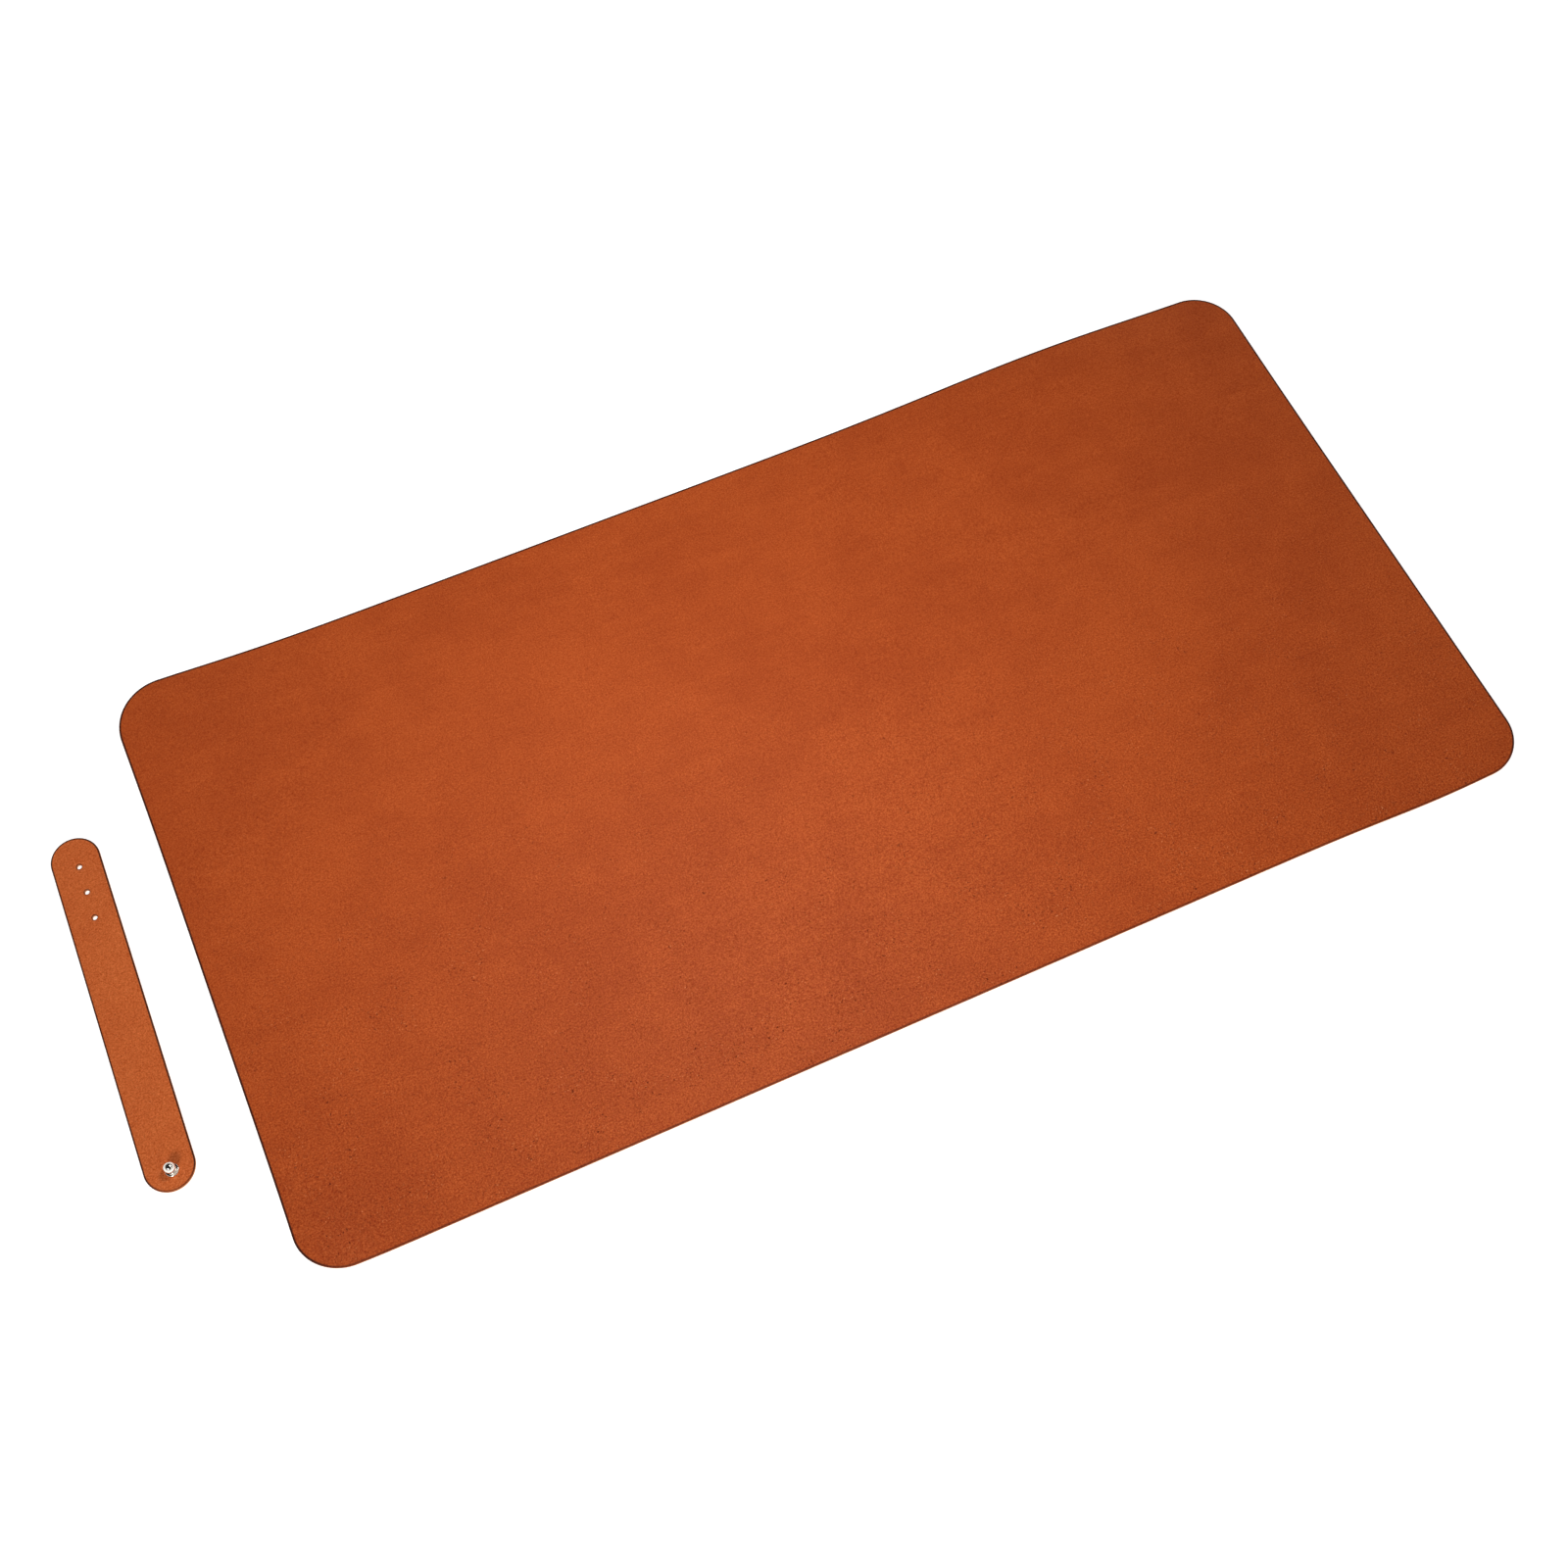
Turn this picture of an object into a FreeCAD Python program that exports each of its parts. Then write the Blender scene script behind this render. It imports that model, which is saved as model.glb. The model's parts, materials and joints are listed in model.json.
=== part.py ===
"""Roll-up leather desk mat with its loose storage strap, laid out flat.

The mat and the strap are each cut from the same two-layer leather: a pebbled
grain leather bonded to a suede backing.  The strap closes on itself: a ball
stud near one end buttons through one of three holes punched near the other.
The origin is the centre of the mat's underside, X runs along the mat's length
and Z points up.  Lengths are in millimetres and angles in degrees.
"""

import FreeCAD, Part
import os
from math import cos, pi, radians, sin, sqrt, tan

# Leather
grain_thickness = 1.2
suede_thickness = 0.8
leather_thickness = suede_thickness + grain_thickness

# Mat
mat_length = 800.0
mat_width = 400.0
mat_corner_radius = 30.0

# Strap, beside the mat's left end and nearly parallel to it
strap_length = 236.0
strap_width = 30.0
strap_gap = 35.5  # from the mat's left edge to the strap
strap_turn = -0.7  # how far the strap lies off the mat's short side

# The holes and the stud sit on one line, a little right of the strap's middle
closure_line_x = 1.0

# Holes punched along the strap's far end
punched_hole_diameter = 3.0
punched_hole_count = 3
punched_hole_pitch = 18.0
punched_hole_from_end = 20.0

# Ball stud, near the strap's other end
stud_from_end = 12.0
ball_diameter = 7.0
ball_centre_height = 6.0  # above the strap's grain face
neck_diameter = 4.0
neck_fillet = 0.5
flange_diameter = 8.0
flange_thickness = 1.0
flange_edge_radius = 0.4

# Screw that holds the stud from the strap's underside
thread_diameter = 3.0
thread_length = 4.0  # of the shank inside the stud
thread_gap = 0.02  # between the shank and the stud's tapped hole
shank_chamfer = 0.4
tapped_hole_depth = 4.6
drill_point_angle = 118.0
head_diameter = 8.0
head_thickness = 0.7
head_edge_radius = 0.3
head_recess_gap = 0.3  # round the head, in the suede backing
slot_width = 0.8
slot_depth = 0.35

# The stud and its screw turn freely in the strap
turning_gap = 0.05

# Heights
flange_bottom = leather_thickness + turning_gap
flange_top = flange_bottom + flange_thickness
ball_centre = leather_thickness + ball_centre_height
head_top = suede_thickness - turning_gap
head_bottom = head_top - head_thickness

# Places
strap_centre = FreeCAD.Vector(-mat_length / 2 - strap_gap - strap_width / 2, 0, 0)
strap_place = FreeCAD.Placement(
    strap_centre, FreeCAD.Rotation(FreeCAD.Vector(0, 0, 1), strap_turn)
)
stud_y = stud_from_end - strap_length / 2
punched_hole_ys = [
    strap_length / 2 - punched_hole_from_end - i * punched_hole_pitch
    for i in range(punched_hole_count)
]


def write(shape, node):
    """Write one sub-part as parts/NODE.step."""
    os.makedirs("parts", exist_ok=True)
    shape.exportStep(f"parts/{node}.step")


def layer(length, width, corner_radius, bottom, thickness):
    """A flat layer with round corners, its length along X, centred on the origin."""
    x, y = length / 2, width / 2
    corner = (1 - cos(pi / 4)) * corner_radius
    edges = []
    for turn, along, across in ((0, x, y), (90, y, x), (180, x, y), (270, y, x)):
        start = FreeCAD.Vector(along, across - corner_radius, bottom)
        middle = FreeCAD.Vector(along - corner, across - corner, bottom)
        end = FreeCAD.Vector(along - corner_radius, across, bottom)
        following = FreeCAD.Vector(corner_radius - along, across, bottom)
        side = [Part.Arc(start, middle, end).toShape()]
        if (following - end).Length > 1e-6:
            side.append(Part.LineSegment(end, following).toShape())
        for edge in side:
            edge.rotate(FreeCAD.Vector(0, 0, 0), FreeCAD.Vector(0, 0, 1), turn)
            edges.append(edge)
    outline = Part.Wire(Part.__sortEdges__(edges))
    return Part.Face(outline).extrude(FreeCAD.Vector(0, 0, thickness))


def hole(diameter, y, bottom, thickness):
    """A round cutter through one layer of the strap."""
    start = FreeCAD.Vector(closure_line_x, y, bottom - thickness)
    return Part.makeCylinder(diameter / 2, 3 * thickness, start)


def turned(points):
    """A solid of revolution about Z.

    points are (radius, height) pairs in order.  A triple of pairs is an arc
    through its middle pair to its last, from the point before it.
    """

    def at(pair):
        return FreeCAD.Vector(pair[0], 0, pair[1])

    edges = []
    last = points[0]
    for point in points[1:]:
        if isinstance(point[0], tuple):
            middle, end = point
            edges.append(Part.Arc(at(last), at(middle), at(end)).toShape())
        else:
            end = point
            edges.append(Part.LineSegment(at(last), at(end)).toShape())
        last = end
    edges.append(Part.LineSegment(at(last), at(points[0])).toShape())
    face = Part.Face(Part.Wire(edges))
    return face.revolve(FreeCAD.Vector(0, 0, 0), FreeCAD.Vector(0, 0, 1), 360)


def on_strap(shape):
    """A shape made on a strap along Y at the origin, put where the strap lies."""
    shape.Placement = strap_place.multiply(shape.Placement)
    return shape


def make_mat():
    """The mat's two bonded layers."""
    for node, bottom, thickness in (
        ("mat_suede_backing", 0, suede_thickness),
        ("mat_grain_leather", suede_thickness, grain_thickness),
    ):
        write(layer(mat_length, mat_width, mat_corner_radius, bottom, thickness), node)


def make_strap():
    """The strap's two bonded layers, with the holes that go through both.

    The stud's shank runs in a close hole through the grain leather, and its
    screw's head sits in a wider one through the suede.
    """
    shank_hole = thread_diameter + 2 * turning_gap
    head_hole = head_diameter + 2 * head_recess_gap
    for node, bottom, thickness, stud_hole in (
        ("strap_suede_backing", 0, suede_thickness, head_hole),
        ("strap_grain_leather", suede_thickness, grain_thickness, shank_hole),
    ):
        band = layer(strap_width, strap_length, strap_width / 2, bottom, thickness)
        cutters = [hole(punched_hole_diameter, y, bottom, thickness) for y in punched_hole_ys]
        cutters.append(hole(stud_hole, stud_y, bottom, thickness))
        write(on_strap(band.cut(cutters)), node)


def make_ball_stud():
    """The ball, neck and flange in one turned piece, tapped blind from below."""
    ball, neck, flange = ball_diameter / 2, neck_diameter / 2, flange_diameter / 2
    bore = thread_diameter / 2 + thread_gap
    bore_top = flange_bottom + tapped_hole_depth
    drill_point = bore / tan(radians(drill_point_angle / 2))
    neck_top = ball_centre - sqrt(ball**2 - neck**2)
    bulge = sin(pi / 4)
    fillet_inset = neck_fillet * (1 - bulge)
    edge_inset = flange_edge_radius * (1 - bulge)
    stud = turned(
        [
            (0, ball_centre + ball),
            ((ball, ball_centre), (neck, neck_top)),
            (neck, flange_top + neck_fillet),
            (
                (neck + fillet_inset, flange_top + fillet_inset),
                (neck + neck_fillet, flange_top),
            ),
            (flange - flange_edge_radius, flange_top),
            (
                (flange - edge_inset, flange_top - edge_inset),
                (flange, flange_top - flange_edge_radius),
            ),
            (flange, flange_bottom),
            (bore, flange_bottom),
            (bore, bore_top),
            (0, bore_top + drill_point),
        ]
    )
    stud.translate(FreeCAD.Vector(closure_line_x, stud_y, 0))
    write(on_strap(stud), "ball_stud")


def make_stud_screw():
    """The low, slotted flat head and the shank that goes up into the stud."""
    head, shank = head_diameter / 2, thread_diameter / 2
    shank_top = flange_bottom + thread_length
    edge_inset = head_edge_radius * (1 - sin(pi / 4))
    screw = turned(
        [
            (0, head_bottom),
            (head - head_edge_radius, head_bottom),
            (
                (head - edge_inset, head_bottom + edge_inset),
                (head, head_bottom + head_edge_radius),
            ),
            (head, head_top),
            (shank, head_top),
            (shank, shank_top - shank_chamfer),
            (shank - shank_chamfer, shank_top),
            (0, shank_top),
        ]
    )
    slot_start = FreeCAD.Vector(-head_diameter, -slot_width / 2, head_bottom - slot_depth)
    slot = Part.makeBox(2 * head_diameter, slot_width, 2 * slot_depth, slot_start)
    screw = screw.cut(slot)
    screw.translate(FreeCAD.Vector(closure_line_x, stud_y, 0))
    write(on_strap(screw), "stud_screw")


make_mat()
make_strap()
make_ball_stud()
make_stud_screw()
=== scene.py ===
import json
import math

import bmesh
import bpy
from mathutils import Matrix, Vector


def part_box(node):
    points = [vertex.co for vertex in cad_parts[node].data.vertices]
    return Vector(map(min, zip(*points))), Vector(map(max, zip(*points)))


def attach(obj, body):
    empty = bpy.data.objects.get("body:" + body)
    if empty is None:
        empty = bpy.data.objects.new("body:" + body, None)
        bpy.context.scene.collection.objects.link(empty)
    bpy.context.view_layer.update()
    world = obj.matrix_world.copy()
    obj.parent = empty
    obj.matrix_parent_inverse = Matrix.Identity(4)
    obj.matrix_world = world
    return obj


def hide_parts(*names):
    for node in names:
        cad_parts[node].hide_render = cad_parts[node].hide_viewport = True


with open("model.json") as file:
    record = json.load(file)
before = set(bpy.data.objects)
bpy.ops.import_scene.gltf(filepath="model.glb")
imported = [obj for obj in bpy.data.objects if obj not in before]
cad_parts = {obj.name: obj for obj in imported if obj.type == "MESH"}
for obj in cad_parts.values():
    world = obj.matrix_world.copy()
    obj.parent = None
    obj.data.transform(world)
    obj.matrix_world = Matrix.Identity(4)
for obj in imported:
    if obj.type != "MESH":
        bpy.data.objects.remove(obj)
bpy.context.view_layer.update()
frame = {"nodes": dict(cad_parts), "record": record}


# ---------------------------------------------------------------------------
# Mat, grain side. One sheet of pebbled tan leather, knife-cut to a rectangle
# with round corners. The edges are left raw, and their upper rim is burnished
# dark, with painted shade added to that dark line along the back and the ends.
# It lies flat except where it still remembers being rolled up.
# ---------------------------------------------------------------------------
MM = 0.001
mat_low, mat_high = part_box("mat_grain_leather")
mat_size = mat_high - mat_low
# Cut by hand: front left, front right, back left, back right
MAT_CORNERS = (28 * MM, 28 * MM, 33 * MM, 28 * MM)
CORNER_SEGMENTS = 20
MAT_CELL = 8 * MM
RIM_STRIP = 1.9 * MM
EDGE_ROUND, EDGE_SEGMENTS = 0.35 * MM, 3
CREASE_ANGLE = math.radians(40)
TINY = 0.001 * MM
# A face is upright if the height of its normal is under this, and level if it is over
UPRIGHT = 0.5

# Where the mat stands off the desk: how high, where along it, and how far that reaches
BACK_LIFT_DEPTH = 70 * MM
BACK_LEFT_LIFT, BACK_LEFT_REACH = 8.5 * MM, 80 * MM
BACK_RIGHT_LIFT, BACK_RIGHT_X, BACK_RIGHT_REACH = 7.0 * MM, 258 * MM, 105 * MM
FRONT_LEFT_LIFT, FRONT_LEFT_REACH, FRONT_LEFT_DEPTH = 5.0 * MM, 30 * MM, 40 * MM

# Faint waves: one to each turn of the roll, and a longer one, both gone at the long edges
ROLL_RADIUS = 29 * MM
ROLL_WAVE, LONG_WAVE = 0.10 * MM, 0.35 * MM
LEVEL_EDGE = 25 * MM

# How far the cut strays from a true rectangle
END_LEAN, BACK_SHORT = 1.2 * MM, 1.1 * MM
FRONT_BULGE, BULGE_X, BULGE_REACH = 2.0 * MM, 335 * MM, 55 * MM


def rgb(red, green, blue):
    """A colour given as it shows on a screen, 0 to 255, in the shader's linear scale."""
    levels = [level / 255 for level in (red, green, blue)]
    linear = [v / 12.92 if v <= 0.04045 else ((v + 0.055) / 1.055) ** 2.4 for v in levels]
    return (*linear, 1)


def hump(distance, reach):
    """1 at no distance, falling smoothly to nearly 0 at twice the reach."""
    return math.exp(-((distance / reach) ** 2))


def mat_lift(x, y):
    """How far the leather stands off the desk along its back edge and at one front corner."""
    back_left = BACK_LEFT_LIFT * hump(x - mat_low.x, BACK_LEFT_REACH)
    back_right = BACK_RIGHT_LIFT * hump(x - BACK_RIGHT_X, BACK_RIGHT_REACH)
    back = (back_left + back_right) * hump(mat_high.y - y, BACK_LIFT_DEPTH)
    front_left = FRONT_LEFT_LIFT * hump(x - mat_low.x, FRONT_LEFT_REACH)
    return back + front_left * hump(y - mat_low.y, FRONT_LEFT_DEPTH)


def mat_waves(x, y):
    """Faint waves across the sheet, left by the turns of the roll."""
    turns = 0.5 + 0.5 * math.sin(x / ROLL_RADIUS + 1.3 * math.sin(y / (150 * MM)))
    drift = 0.5 + 0.5 * math.sin(x / (88 * MM) - y / (120 * MM) + 0.8)
    inside = 1 - max(hump(mat_high.y - y, LEVEL_EDGE), hump(y - mat_low.y, LEVEL_EDGE))
    return (ROLL_WAVE * turns + LONG_WAVE * drift) * inside


def settle_mat(bm):
    """Bends a flat layer to the way the mat lies, with its slightly uneven cut."""
    for vert in bm.verts:
        x, y = vert.co.x, vert.co.y
        along = (x - mat_low.x) / mat_size.x
        across = (y - mat_low.y) / mat_size.y
        bulge = FRONT_BULGE * hump(x - BULGE_X, BULGE_REACH)
        vert.co.x -= END_LEAN * along * (2 * across - 1)
        vert.co.y -= BACK_SHORT * across + bulge * (1 - across)
        vert.co.z += mat_lift(x, y) + mat_waves(x, y)


def cut_outline(bm, low, high, corners, step):
    """One flat face with round corners, its long sides split every step or so."""
    bmesh.ops.create_grid(bm, x_segments=1, y_segments=1, size=0.5)
    size, middle = high - low, (low + high) / 2
    bmesh.ops.scale(bm, vec=(size.x, size.y, 1), verts=bm.verts)
    bmesh.ops.translate(bm, vec=(middle.x, middle.y, high.z), verts=bm.verts)
    for vert, radius in zip(bm.verts[:], corners):
        bmesh.ops.bevel(
            bm, geom=[vert], affect="VERTICES", offset=radius,
            segments=CORNER_SEGMENTS, profile=0.5, material=-1,
        )
    bmesh.ops.remove_doubles(bm, verts=bm.verts, dist=TINY)
    for edge in bm.edges[:]:
        cuts = round(edge.calc_length() / step) - 1
        if cuts > 0:
            bmesh.ops.subdivide_edges(bm, edges=[edge], cuts=cuts)


def mark_rim(bm, width):
    """Sets a strip along each cut, and a value that is 1 at the cut and 0 past the strip."""
    rim = bm.verts.layers.float.new("rim")
    for vert in bm.verts:
        vert[rim] = 1
    strip = bmesh.ops.inset_region(
        bm, faces=bm.faces, thickness=width, use_boundary=True, use_even_offset=True)
    for face in bm.faces:
        if face not in strip["faces"]:
            for vert in face.verts:
                vert[rim] = 0


def cut_cells(bm, low, high, step):
    """Cuts the shape inside its rim strips into square cells, so that it can bend."""
    rim = bm.verts.layers.float["rim"]
    for axis, normal in enumerate((Vector((1, 0, 0)), Vector((0, 1, 0)))):
        count = round((high[axis] - low[axis]) / step)
        for i in range(1, count):
            at = normal * (low[axis] + (high[axis] - low[axis]) * i / count)
            edges = [edge for edge in bm.edges if not any(vert[rim] for vert in edge.verts)]
            faces = [face for face in bm.faces if not any(vert[rim] for vert in face.verts)]
            bmesh.ops.bisect_plane(
                bm, geom=bm.verts[:] + edges + faces,
                dist=0.1 * MM, plane_co=at, plane_no=normal,
            )


def thicken(bm, thickness, edge_round):
    """Gives a layer its thickness, downwards, and rounds the upper rim of each cut.

    Faces that stand upright, along each cut, get the second material. The rounded rim
    and the level faces keep the first.
    """
    grown = bmesh.ops.extrude_face_region(bm, geom=bm.faces[:])["geom"]
    lower = [item for item in grown if isinstance(item, bmesh.types.BMVert)]
    bmesh.ops.translate(bm, vec=(0, 0, -thickness), verts=lower)
    bmesh.ops.recalc_face_normals(bm, faces=bm.faces)
    for face in bm.faces:
        face.smooth = True
        face.material_index = 1 if abs(face.normal.z) < UPRIGHT else 0
    upper_rim = [
        edge for edge in bm.edges
        if {face.material_index for face in edge.link_faces} == {0, 1}
        and any(face.normal.z > UPRIGHT for face in edge.link_faces)
    ]
    bmesh.ops.bevel(
        bm, geom=upper_rim, affect="EDGES", offset=edge_round,
        segments=EDGE_SEGMENTS, profile=0.5, material=0,
    )


def finish_piece(bm, name, body, node, slot, *materials):
    """Makes the piece that stands for one CAD node."""
    mesh = bpy.data.meshes.new(name)
    bm.to_mesh(mesh)
    bm.free()
    mesh.set_sharp_from_angle(angle=CREASE_ANGLE)
    piece = bpy.data.objects.new(name, mesh)
    bpy.context.scene.collection.objects.link(piece)
    for material in materials:
        mesh.materials.append(material)
    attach(piece, body)
    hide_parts(node)
    return piece


class Value:
    """One output of a shader node. Arithmetic on values adds Math nodes."""

    def __init__(self, shader, socket):
        self.shader = shader
        self.socket = socket

    def math(self, operation, first, second=0.0):
        return self.shader.node("Math", {"operation": operation}, {0: first, 1: second})[0]

    def __add__(self, other):
        return self.math("ADD", self, other)

    def __sub__(self, other):
        return self.math("SUBTRACT", self, other)

    def __rsub__(self, other):
        return self.math("SUBTRACT", other, self)

    def __mul__(self, other):
        return self.math("MULTIPLY", self, other)

    __radd__ = __add__
    __rmul__ = __mul__


class Shader:
    """One procedural material, built node by node."""

    def __init__(self, name):
        self.material = bpy.data.materials.new(name)
        self.material.use_nodes = True
        self.tree = self.material.node_tree
        self.tree.nodes.clear()

    def node(self, kind, settings=None, sockets=None):
        """Adds a node: its settings first, then its sockets' values or links."""
        made = self.tree.nodes.new("ShaderNode" + kind)
        for name, value in (settings or {}).items():
            setattr(made, name, value)
        for key, value in (sockets or {}).items():
            if isinstance(value, Value):
                self.tree.links.new(value.socket, made.inputs[key])
            else:
                made.inputs[key].default_value = value
        return [Value(self, socket) for socket in made.outputs]

    def place(self):
        """The piece's own coordinates, in metres."""
        return self.node("TexCoord")[3]

    def stretched(self, place, *scale):
        return self.node("Mapping", {}, {"Vector": place, "Scale": scale})[0]

    def swayed(self, place, scale, reach):
        """The same place, pushed about sideways by a noise."""
        push = self.node("TexNoise", {}, {"Vector": place, "Scale": scale, "Detail": 2.0})[1]
        return self.node("VectorMath", {"operation": "MULTIPLY_ADD"}, {
            0: push, 1: (reach, reach, 0.0), 2: place,
        })[0]

    def noise(self, place, scale, detail=2, roughness=0.5):
        return self.node("TexNoise", {}, {
            "Vector": place, "Scale": scale, "Detail": detail, "Roughness": roughness,
        })[0]

    def pebbled(self, place, scale):
        """Close-set round cells: low in the middle of each, rising to the dips between."""
        return self.node("TexVoronoi", {"feature": "SMOOTH_F1"}, {
            "Vector": place, "Scale": scale, "Smoothness": 0.6, "Randomness": 1.0,
        })[0]

    def ramp(self, value, low, high, to_low=0.0, to_high=1.0):
        """A value turned smoothly from one range to another, and held there."""
        return self.node("MapRange", {"interpolation_type": "SMOOTHSTEP"}, {
            "Value": value, "From Min": low, "From Max": high,
            "To Min": to_low, "To Max": to_high,
        })[0]

    def mix(self, factor, first, second, blend="MIX"):
        return self.node("Mix", {"data_type": "RGBA", "blend_type": blend}, {
            0: factor, 6: first, 7: second,
        })[2]

    def finish(self, sockets, height=None, depth=0.0):
        """A Principled surface, with a bump of that depth where height is given."""
        if height is not None:
            bump = self.node("Bump", {}, {"Height": height, "Distance": depth, "Strength": 1.0})
            sockets = {**sockets, "Normal": bump[0]}
        surface = self.node("BsdfPrincipled", {}, sockets)[0]
        self.node("OutputMaterial", {}, {"Surface": surface})
        return self.material


def pebbled_leather(name, deep, tan, pale, crease_and_pit_shade, lip_highlight, rim_burnish_and_shade, front_sheen_range, front):
    """Fine pebbled grain under an uneven dye, with open pores, painted shade in its dips
    and pits, painted highlights beside the pits and painted glints on the grain.

    The range of the front sheen is that over which, going from the back to the front and
    a little from right to left, the painted glints, the painted shade in the dips and the
    pores grow stronger. The dark line along each cut is partly burnished edge and partly
    painted shade; it is lighter at the front edge, which faces the light. A noise's scale
    is in its features to the metre.
    """
    shader = Shader(name)
    place = shader.place()
    across = shader.node("SeparateXYZ", {}, {"Vector": place})
    # Painted sheen towards the front and a little to the left, where the light's gloss falls:
    # it strengthens the painted glints, the painted shade in the dips and the pores
    front_sheen = shader.ramp(across[0] * -0.06 - across[1], *front_sheen_range)

    swayed = shader.swayed(shader.swayed(place, 260.0, 2.0 * MM), 1100.0, 0.6 * MM)
    pebbles = shader.pebbled(swayed, 720.0)
    dips = shader.ramp(pebbles, 0.35, 0.8)
    grain = shader.noise(place, 950.0, 2, 0.6)
    fine = shader.noise(place, 1700.0, 3)
    soft = shader.noise(place, 400.0, 3, 0.6)
    rolls = shader.noise(place, 60.0, 2)

    # Pores lie in scattered groups, each a small pit with painted shade in it, beside a paler
    # lip that is a painted highlight
    groups = shader.ramp(shader.noise(place, 38.0, 3, 0.6), 0.44, 0.62)
    open_pores = groups * (front_sheen * 0.85 + 0.15)
    pits = shader.ramp(shader.noise(swayed, 700.0, 1), 0.66, 0.74) * open_pores
    lip_highlight_mask = shader.ramp(shader.noise(swayed, 830.0, 1), 0.67, 0.75) * open_pores
    height = grain * 0.5 + fine * 0.3 + soft * 0.5 + rolls * 1.4 - dips * 0.45 - pits * 1.5

    clouds = shader.noise(place, 7.0, 3, 0.5)
    patches = shader.noise(place, 34.0, 4, 0.6)
    streaks = shader.noise(shader.stretched(place, 1.0, 8.0, 1.0), 14.0, 3)
    dye = clouds * 0.45 + patches * 0.35 + streaks * 0.2
    colour = shader.mix(shader.ramp(dye, 0.38, 0.62), deep, pale)
    colour = shader.mix(0.5, colour, tan)
    # Painted shade: the dips between the pebbles and the pits are darkened towards a deep brown
    colour = shader.mix(dips * (front_sheen * 0.12 + 0.08) + pits * 0.9, colour, crease_and_pit_shade)
    # Painted highlight: the lip beside each pit is made paler
    colour = shader.mix(lip_highlight_mask * 0.6, colour, lip_highlight)

    # Grain tone with painted glints: the grain is lighter and less strongly coloured at random,
    # as glints would make it, and more so towards the front
    grain_tone_and_glints = (grain - 0.5) * (front_sheen * 0.55 + 0.75) + (fine - 0.5) * 0.8 + (soft - 0.5) * 0.15
    grain_tone_and_glint_tint = shader.node("VectorMath", {"operation": "MULTIPLY_ADD"}, {
        0: grain_tone_and_glints, 1: (1.0, 1.9, 3.2), 2: (1.0, 1.0, 1.0),
    })[0]
    colour = shader.mix(1.0, colour, grain_tone_and_glint_tint, "MULTIPLY")

    rim = shader.node("Attribute", {"attribute_name": "rim"})[2]
    # The dark line along each cut is partly burnished edge and partly painted shade: it is
    # darkest along the back and the ends, away from the light, and lighter at the front edge
    rim_strength_from_front = shader.ramp(across[1], front, front + 12 * MM, 0.6, 0.95)
    burnish_and_shade = shader.ramp(rim, 0.2, 0.5) * rim_strength_from_front
    colour = shader.mix(burnish_and_shade, colour, rim_burnish_and_shade)
    gloss = 0.5 + fine * 0.16 + dips * 0.1 + pits * 0.3
    return shader.finish(
        {"Base Color": colour, "Roughness": gloss, "Specular IOR Level": 0.17},
        height, 0.11 * MM,
    )


def cut_edge(name, raw, stained):
    """The raw cut: pale fibre, with darker bands where the dye has soaked in."""
    shader = Shader(name)
    place = shader.place()
    fibres = shader.noise(shader.stretched(place, 1.0, 1.0, 4.0), 900.0, 4, 0.65)
    stains = shader.noise(place, 60.0, 2)
    shade = shader.ramp(fibres * 0.6 + stains * 0.4, 0.35, 0.65)
    colour = shader.mix(shade, stained, raw)
    return shader.finish(
        {"Base Color": colour, "Roughness": 0.85, "Specular IOR Level": 0.1},
        fibres, 0.08 * MM,
    )


mat_skin = pebbled_leather(
    "tan_pebbled_leather",
    deep=rgb(167, 68, 21), tan=rgb(179, 76, 26), pale=rgb(189, 84, 31),
    crease_and_pit_shade=rgb(96, 30, 8), lip_highlight=rgb(226, 138, 84), rim_burnish_and_shade=rgb(52, 16, 7),
    front_sheen_range=(-0.14, 0.24), front=mat_low.y,
)
leather_edge = cut_edge("cut_leather_edge", rgb(232, 168, 112), rgb(176, 106, 62))

bm = bmesh.new()
cut_outline(bm, mat_low, mat_high, MAT_CORNERS, MAT_CELL)
mark_rim(bm, RIM_STRIP)
cut_cells(bm, mat_low, mat_high, MAT_CELL)
settle_mat(bm)
thicken(bm, mat_size.z, EDGE_ROUND)
mat_leather = finish_piece(
    bm, "mat_leather", "mat", "mat_grain_leather", "grain_leather", mat_skin, leather_edge)


# ---------------------------------------------------------------------------
# Mat, underside. A thin suede backing, bonded to the grain leather all over
# and cut with it, nap side down so that the mat doesn't slide on the desk.
# ---------------------------------------------------------------------------
suede_low, suede_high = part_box("mat_suede_backing")
# How far the suede stops short of the leather's edge
BOND_LINE = Vector((0.15 * MM, 0.15 * MM, 0))
SUEDE_ROUND = 0.1 * MM


def suede(name, nap, shadow):
    """A short brushed nap, lighter and darker where it has been stroked."""
    shader = Shader(name)
    place = shader.place()
    nap_grain = shader.noise(place, 1500.0, 4, 0.7)
    strokes = shader.noise(shader.stretched(place, 3.0, 1.0, 1.0), 24.0, 4, 0.6)
    shade = shader.ramp(nap_grain * 0.45 + strokes * 0.55, 0.36, 0.64)
    colour = shader.mix(shade, shadow, nap)
    return shader.finish(
        {"Base Color": colour, "Roughness": 0.95, "Specular IOR Level": 0.05,
         "Sheen Weight": 0.4, "Sheen Roughness": 0.5},
        nap_grain, 0.15 * MM,
    )


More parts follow.
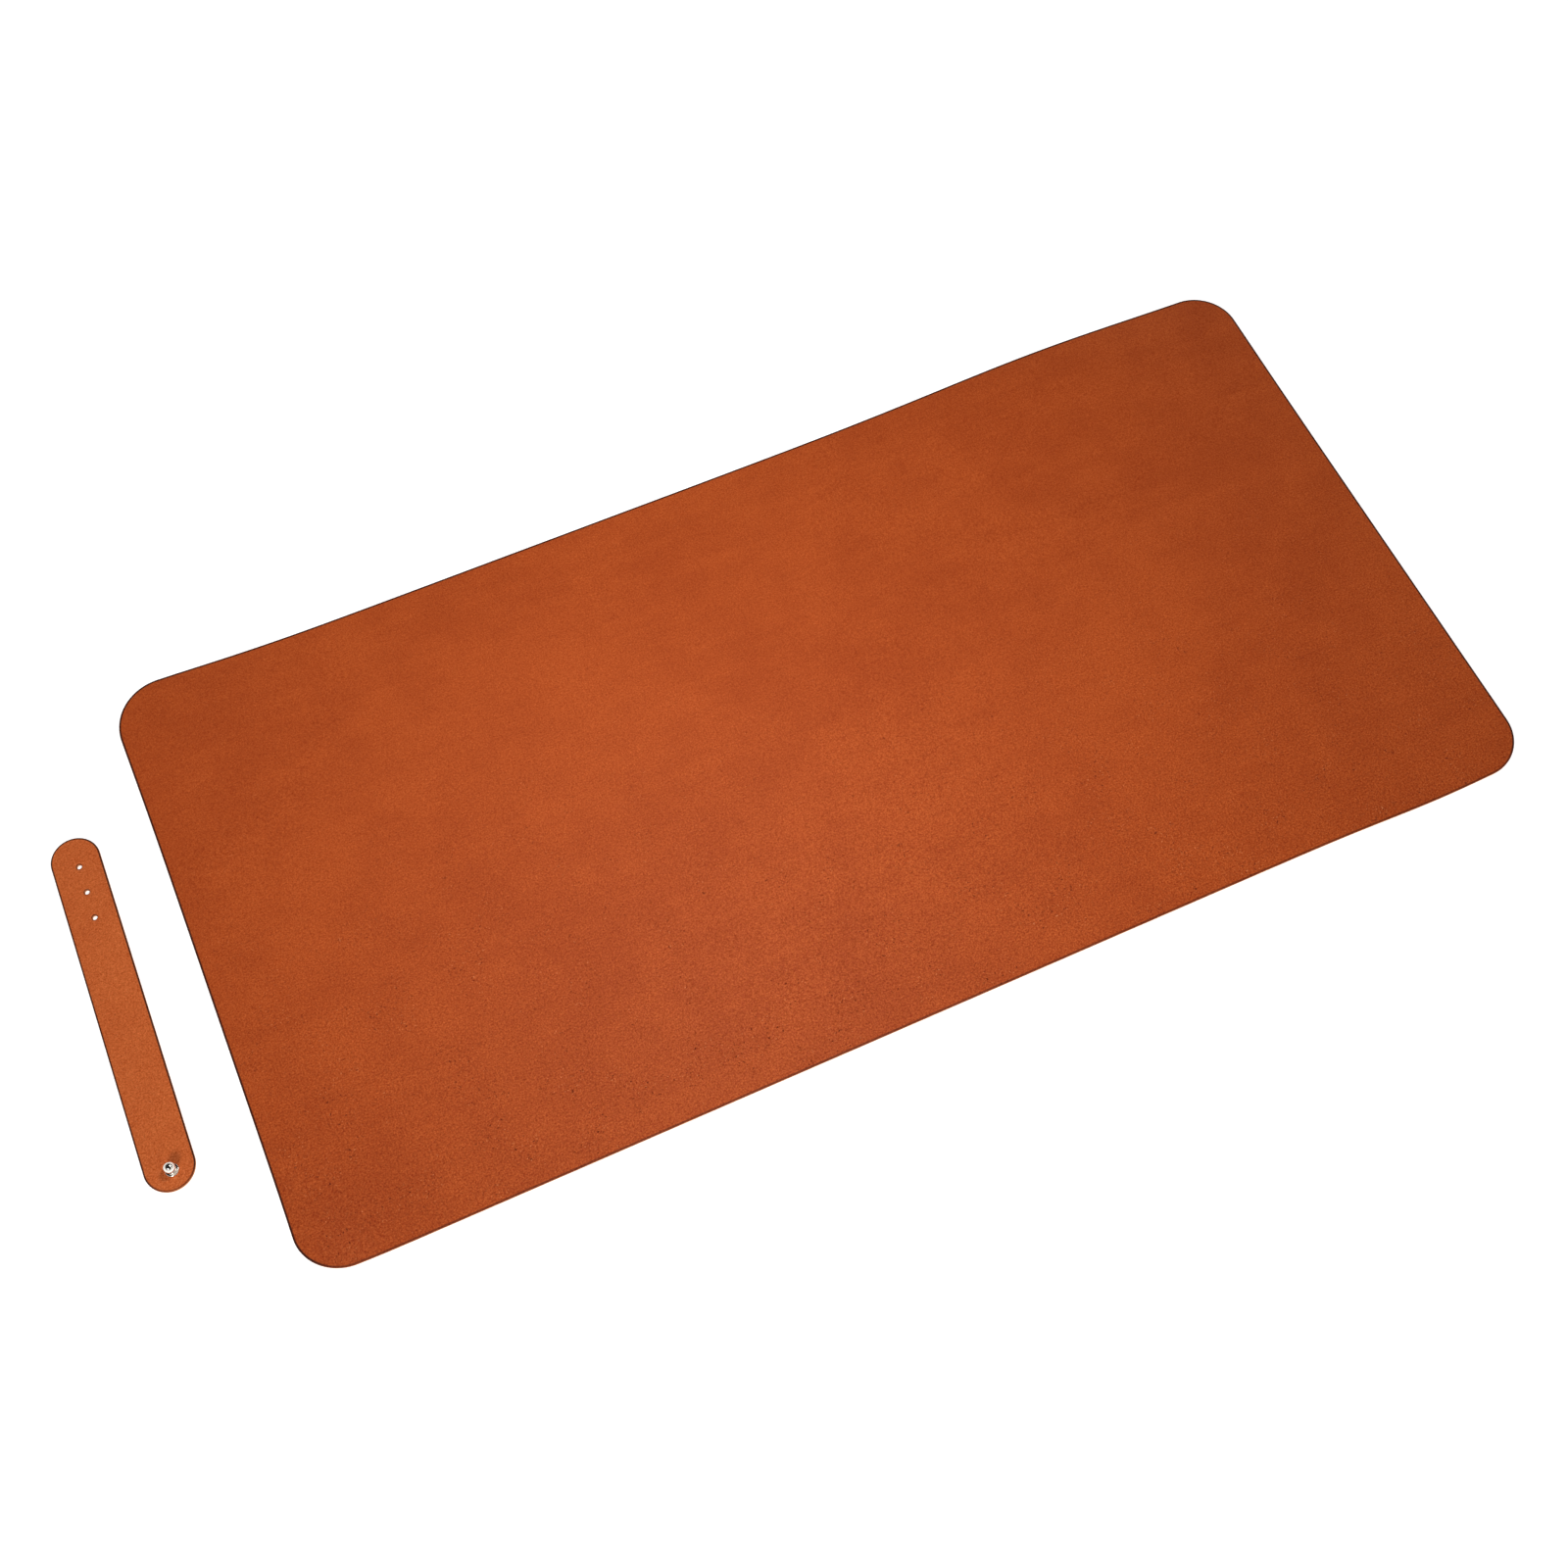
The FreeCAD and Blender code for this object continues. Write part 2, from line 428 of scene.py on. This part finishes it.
suede_skin = suede("sand_suede", rgb(206, 160, 122), rgb(176, 126, 90))
bm = bmesh.new()
cut_outline(bm, suede_low + BOND_LINE, suede_high - BOND_LINE, MAT_CORNERS, MAT_CELL)
mark_rim(bm, RIM_STRIP)
cut_cells(bm, suede_low, suede_high, MAT_CELL)
settle_mat(bm)
thicken(bm, suede_high.z - suede_low.z, SUEDE_ROUND)
mat_suede = finish_piece(
    bm, "mat_suede", "mat", "mat_suede_backing", "suede", suede_skin, leather_edge)


# ---------------------------------------------------------------------------
# Strap, grain side. A narrow band of the same leather with half-round ends,
# a little paler than the mat. It has three button holes punched at one end
# and a hole for the stud's shank at the other.
# ---------------------------------------------------------------------------
STRAP_LENGTH, STRAP_WIDTH = 236 * MM, 30 * MM
STRAP_TURN = math.radians(-0.7)
STRAP_CELL = 4 * MM
STRAP_RIM = 1.5 * MM
# The rim value round a punched hole: lower than on the outer cut, for a narrower dark line,
# partly burnished and partly painted shade for the hole's inside
HOLE_RIM = 0.5
HOLE_SEGMENTS = 32
SHANK_HOLE = 1.55 * MM
DISH_DEPTH, DISH_REACH = 0.22 * MM, 1.2 * MM
strap_low, strap_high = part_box("strap_grain_leather")
strap_middle = (strap_low + strap_high) / 2
button_holes = [
    (Vector(mount["pos_m"][:2]), mount["dims"]["r_mm"] * MM)
    for mount in frame["record"]["mounts"] if mount["kind"] == "bore"
]
stud_low, stud_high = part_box("ball_stud")
stud_place = (stud_low.xy + stud_high.xy) / 2


def punch(bm, height, holes):
    """Turns a flat outline into a sheet with round holes in it, facing up."""
    bmesh.ops.delete(bm, geom=bm.faces[:], context="FACES_ONLY")
    for place, radius in holes:
        bmesh.ops.create_circle(
            bm, cap_ends=False, radius=radius, segments=HOLE_SEGMENTS,
            matrix=Matrix.Translation((*place, height)),
        )
    bmesh.ops.triangle_fill(bm, use_beauty=True, edges=bm.edges[:])
    bmesh.ops.reverse_faces(bm, faces=[face for face in bm.faces if face.normal.z < 0])


def strap_layer(low, high, holes, inset):
    """One flat layer of the strap where it lies, with its holes and marked rims."""
    bm = bmesh.new()
    half = Vector((STRAP_WIDTH / 2 - inset, STRAP_LENGTH / 2 - inset, 0))
    level = Vector((0, 0, high.z))
    cut_outline(bm, level - half, level + half, [half.x] * 4, STRAP_CELL)
    place = Matrix.Translation((strap_middle.x, strap_middle.y, 0))
    turn = Matrix.Rotation(STRAP_TURN, 4, "Z")
    bmesh.ops.transform(bm, matrix=place @ turn, verts=bm.verts)
    punch(bm, high.z, holes)
    mark_rim(bm, STRAP_RIM)
    cut_cells(bm, low, high, STRAP_CELL)
    return bm


def dish_holes(bm, low, high, holes):
    """Presses the upper face down a little round each hole, as the punch leaves it."""
    for vert in bm.verts:
        near = min((vert.co.xy - place).length - radius for place, radius in holes)
        share = (vert.co.z - low.z) / (high.z - low.z)
        vert.co.z -= DISH_DEPTH * share * hump(max(near, 0), DISH_REACH)


strap_skin = pebbled_leather(
    "pale_tan_pebbled_leather",
    deep=rgb(196, 92, 41), tan=rgb(204, 100, 46), pale=rgb(212, 108, 52),
    crease_and_pit_shade=rgb(130, 48, 14), lip_highlight=rgb(240, 160, 104), rim_burnish_and_shade=rgb(52, 16, 7),
    front_sheen_range=(-0.3, 0.9), front=strap_low.y,
)
holes = button_holes + [(stud_place, SHANK_HOLE)]
bm = strap_layer(strap_low, strap_high, holes, 0)
rim = bm.verts.layers.float["rim"]
for vert in bm.verts:
    if any((vert.co.xy - place).length < radius + TINY for place, radius in holes):
        vert[rim] = HOLE_RIM
thicken(bm, strap_high.z - strap_low.z, EDGE_ROUND)
dish_holes(bm, strap_low, strap_high, button_holes)
strap_leather = finish_piece(
    bm, "strap_leather", "strap", "strap_grain_leather", "grain_leather",
    strap_skin, leather_edge,
)


# ---------------------------------------------------------------------------
# Strap, underside. The same suede backing, with the holes punched through it
# and a wider round recess that takes the head of the stud's screw.
# ---------------------------------------------------------------------------
HEAD_RECESS = 4.3 * MM
lining_low, lining_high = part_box("strap_suede_backing")
bm = strap_layer(
    lining_low, lining_high, button_holes + [(stud_place, HEAD_RECESS)], BOND_LINE.x)
thicken(bm, lining_high.z - lining_low.z, SUEDE_ROUND)
strap_suede = finish_piece(
    bm, "strap_suede", "strap", "strap_suede_backing", "suede", suede_skin, leather_edge)


# ---------------------------------------------------------------------------
# Ball stud. Ball, neck and flange turned from one brass bar, polished and
# nickel plated. It is tapped from below and stands on the strap's grain side.
# ---------------------------------------------------------------------------
BALL, NECK, FLANGE = 3.5 * MM, 2.0 * MM, 4.0 * MM
FLANGE_THICKNESS = 1.0 * MM
TAPPED_HOLE, TAPPED_DEPTH, DRILL_TIP = 1.52 * MM, 4.6 * MM, 0.9 * MM
FLANGE_ROUND, NECK_FILLET, BALL_FILLET = 0.4 * MM, 0.5 * MM, 0.15 * MM
BALL_SEGMENTS, TURNED_SEGMENTS, FILLET_SEGMENTS = 28, 64, 5


def ring(bm, radius, height):
    """The edges of one turned corner."""
    return [
        edge for edge in bm.edges
        if all(
            abs(vert.co.xy.length - radius) < TINY and abs(vert.co.z - height) < TINY
            for vert in edge.verts
        )
    ]


def nickel(name, bright, dull):
    """Polished plate: a faint haze, fine polishing lines and slight ripples."""
    shader = Shader(name)
    place = shader.place()
    haze = shader.noise(place, 260.0, 3, 0.6)
    lines = shader.noise(shader.stretched(place, 1.0, 1.0, 14.0), 1400.0, 3, 0.6)
    colour = shader.mix(shader.ramp(haze, 0.35, 0.7), bright, dull)
    return shader.finish(
        {"Base Color": colour, "Metallic": 1.0, "Roughness": 0.05 + haze * 0.08 + lines * 0.05},
        haze * 0.7 + lines * 0.3, 0.012 * MM,
    )


bm = bmesh.new()
ball_centre = stud_high.z - BALL
flange_top = stud_low.z + FLANGE_THICKNESS
neck_angle = math.pi - math.asin(NECK / BALL)
crown = bm.verts.new((0, 0, stud_high.z))
arc = bmesh.ops.spin(
    bm, geom=[crown], cent=(0, 0, ball_centre), axis=(0, 1, 0), dvec=(0, 0, 0),
    angle=neck_angle, steps=BALL_SEGMENTS, use_merge=False,
)
last = arc["geom_last"][0]
neck_top = last.co.z
for radius, height in (
    (NECK, flange_top),
    (FLANGE, flange_top),
    (FLANGE, stud_low.z),
    (TAPPED_HOLE, stud_low.z),
    (TAPPED_HOLE, stud_low.z + TAPPED_DEPTH),
    (0, stud_low.z + TAPPED_DEPTH + DRILL_TIP),
):
    vert = bm.verts.new((radius, 0, height))
    bm.edges.new((last, vert))
    last = vert
bmesh.ops.spin(
    bm, geom=bm.verts[:] + bm.edges[:], cent=(0, 0, 0), axis=(0, 0, 1), dvec=(0, 0, 0),
    angle=2 * math.pi, steps=TURNED_SEGMENTS, use_merge=True,
)
bmesh.ops.remove_doubles(bm, verts=bm.verts, dist=TINY)
bmesh.ops.recalc_face_normals(bm, faces=bm.faces)
for radius, height, round_off in (
    (FLANGE, flange_top, FLANGE_ROUND),
    (NECK, flange_top, NECK_FILLET),
    (NECK, neck_top, BALL_FILLET),
):
    bmesh.ops.bevel(
        bm, geom=ring(bm, radius, height), affect="EDGES", offset=round_off,
        segments=FILLET_SEGMENTS, profile=0.5, material=-1,
    )
for face in bm.faces:
    face.smooth = True
bmesh.ops.translate(bm, vec=(*stud_place, 0), verts=bm.verts)
finish_piece(
    bm, "stud_ball_and_flange", "stud", "ball_stud", "polished_nickel",
    nickel("polished_nickel", rgb(236, 232, 224), rgb(214, 207, 196)),
)


# ---------------------------------------------------------------------------
# Stud screw. A low slotted head in the strap's suede side, with its shank up
# into the stud. Plated steel with the lathe's rings still on it.
# ---------------------------------------------------------------------------
def turned_steel(name, bright, dull, axis):
    """Satin plate with fine rings about the screw's axis."""
    shader = Shader(name)
    centred = shader.node("Mapping", {"vector_type": "POINT"}, {
        "Vector": shader.place(), "Location": (-axis.x, -axis.y, 0.0),
    })[0]
    flat = shader.node("VectorMath", {"operation": "MULTIPLY"}, {0: centred, 1: (1, 1, 0)})[0]
    radius = shader.node("VectorMath", {"operation": "LENGTH"}, {0: flat})[1]
    rings = shader.noise(shader.node("CombineXYZ", {}, {"X": radius})[0], 9000.0, 2)
    wear = shader.noise(centred, 700.0, 3)
    colour = shader.mix(shader.ramp(wear, 0.35, 0.7), bright, dull)
    return shader.finish(
        {"Base Color": colour, "Metallic": 1.0, "Roughness": 0.28 + rings * 0.16},
        rings, 0.01 * MM,
    )


screw = frame["nodes"]["stud_screw"]
screw.data.materials.clear()
screw.data.materials.append(
    turned_steel("plated_steel", rgb(206, 203, 198), rgb(176, 171, 163), stud_place))


# ---------------------------------------------------------------------------
# Desk, light and camera. A white desk top that runs up into a round cove, a
# soft lamp over the mat's middle, and two far ones at the front.
# ---------------------------------------------------------------------------
SWEEP_RADIUS, COVE_RADIUS, SWEEP_TOP = 2.4, 0.9, 1.8
COVE_SEGMENTS, SWEEP_SEGMENTS = 12, 96
BELOW_SUEDE = 0.2 * MM
bm = bmesh.new()
centre = bm.verts.new((0, 0, 0))
foot = bm.verts.new((SWEEP_RADIUS, 0, 0))
bm.edges.new((centre, foot))
cove = bmesh.ops.spin(
    bm, geom=[foot], cent=(SWEEP_RADIUS, 0, COVE_RADIUS), axis=(0, -1, 0), dvec=(0, 0, 0),
    angle=math.pi / 2, steps=COVE_SEGMENTS, use_merge=False,
)
wall = bm.verts.new((SWEEP_RADIUS + COVE_RADIUS, 0, SWEEP_TOP))
bm.edges.new((cove["geom_last"][0], wall))
bmesh.ops.spin(
    bm, geom=bm.verts[:] + bm.edges[:], cent=(0, 0, 0), axis=(0, 0, 1), dvec=(0, 0, 0),
    angle=2 * math.pi, steps=SWEEP_SEGMENTS, use_merge=True,
)
bmesh.ops.remove_doubles(bm, verts=bm.verts, dist=0.01 * MM)
bmesh.ops.translate(bm, vec=(0, 0, -BELOW_SUEDE), verts=bm.verts)
bmesh.ops.recalc_face_normals(bm, faces=bm.faces)
if sum(face.normal.z for face in bm.faces) < 0:
    bmesh.ops.reverse_faces(bm, faces=bm.faces)
for face in bm.faces:
    face.smooth = True
mesh = bpy.data.meshes.new("desk")
bm.to_mesh(mesh)
bm.free()
desk = bpy.data.objects.new("desk", mesh)
bpy.context.scene.collection.objects.link(desk)
white = Shader("white_sweep")
height = white.node("SeparateXYZ", {}, {"Vector": white.place()})[2]
glow = white.mix(white.ramp(height, 0.0, SWEEP_TOP), (1, 1, 1, 1), (0.4, 0.4, 0.4, 1))
mesh.materials.append(white.finish({
    "Base Color": (0.6, 0.6, 0.6, 1), "Roughness": 0.9, "Specular IOR Level": 0.0,
    "Emission Color": glow, "Emission Strength": 0.8,
}))


def softbox(name, place, target, size, power):
    """A square soft light that faces its target and stays out of the camera's sight."""
    light = bpy.data.lights.new(name, "AREA")
    light.size = size
    light.energy = power
    lamp = bpy.data.objects.new(name, light)
    lamp.location = place
    lamp.rotation_euler = (Vector(target) - Vector(place)).to_track_quat("-Z", "Y").to_euler()
    lamp.visible_camera = False
    bpy.context.scene.collection.objects.link(lamp)


softbox("overhead_light", (-0.05, 0, 0.6), target=(-0.05, 0, 0), size=0.2, power=2.2)
softbox("front_left_light", (-1.25, -1.6, 1.65), target=(-0.2, 0, 0), size=0.6, power=24.5)
softbox("front_right_light", (1.2, -1.45, 1.35), target=(-0.1, 0, 0), size=0.5, power=2)

world = bpy.data.worlds.new("studio")
bpy.context.scene.world = world
world.use_nodes = True
world.node_tree.nodes["Background"].inputs["Color"].default_value = (1, 1, 1, 1)
world.node_tree.nodes["Background"].inputs["Strength"].default_value = 0.03

CAMERA_AZIMUTH, CAMERA_ELEVATION = math.radians(-24.155), math.radians(64.877)
camera_data = bpy.data.cameras.new("camera")
camera_data.lens = 45.52
camera_data.sensor_width = 36
camera_data.clip_start, camera_data.clip_end = 0.01, 20
camera = bpy.data.objects.new("camera", camera_data)
bpy.context.scene.collection.objects.link(camera)
back = Vector((
    math.sin(CAMERA_AZIMUTH) * math.cos(CAMERA_ELEVATION),
    -math.cos(CAMERA_AZIMUTH) * math.cos(CAMERA_ELEVATION),
    math.sin(CAMERA_ELEVATION),
))
camera.location = (-0.2476, -0.5042, 1.1173)
camera.rotation_euler = (-back).to_track_quat("-Z", "Y").to_euler()
bpy.context.scene.camera = camera
bpy.context.scene.view_settings.view_transform = "Standard"
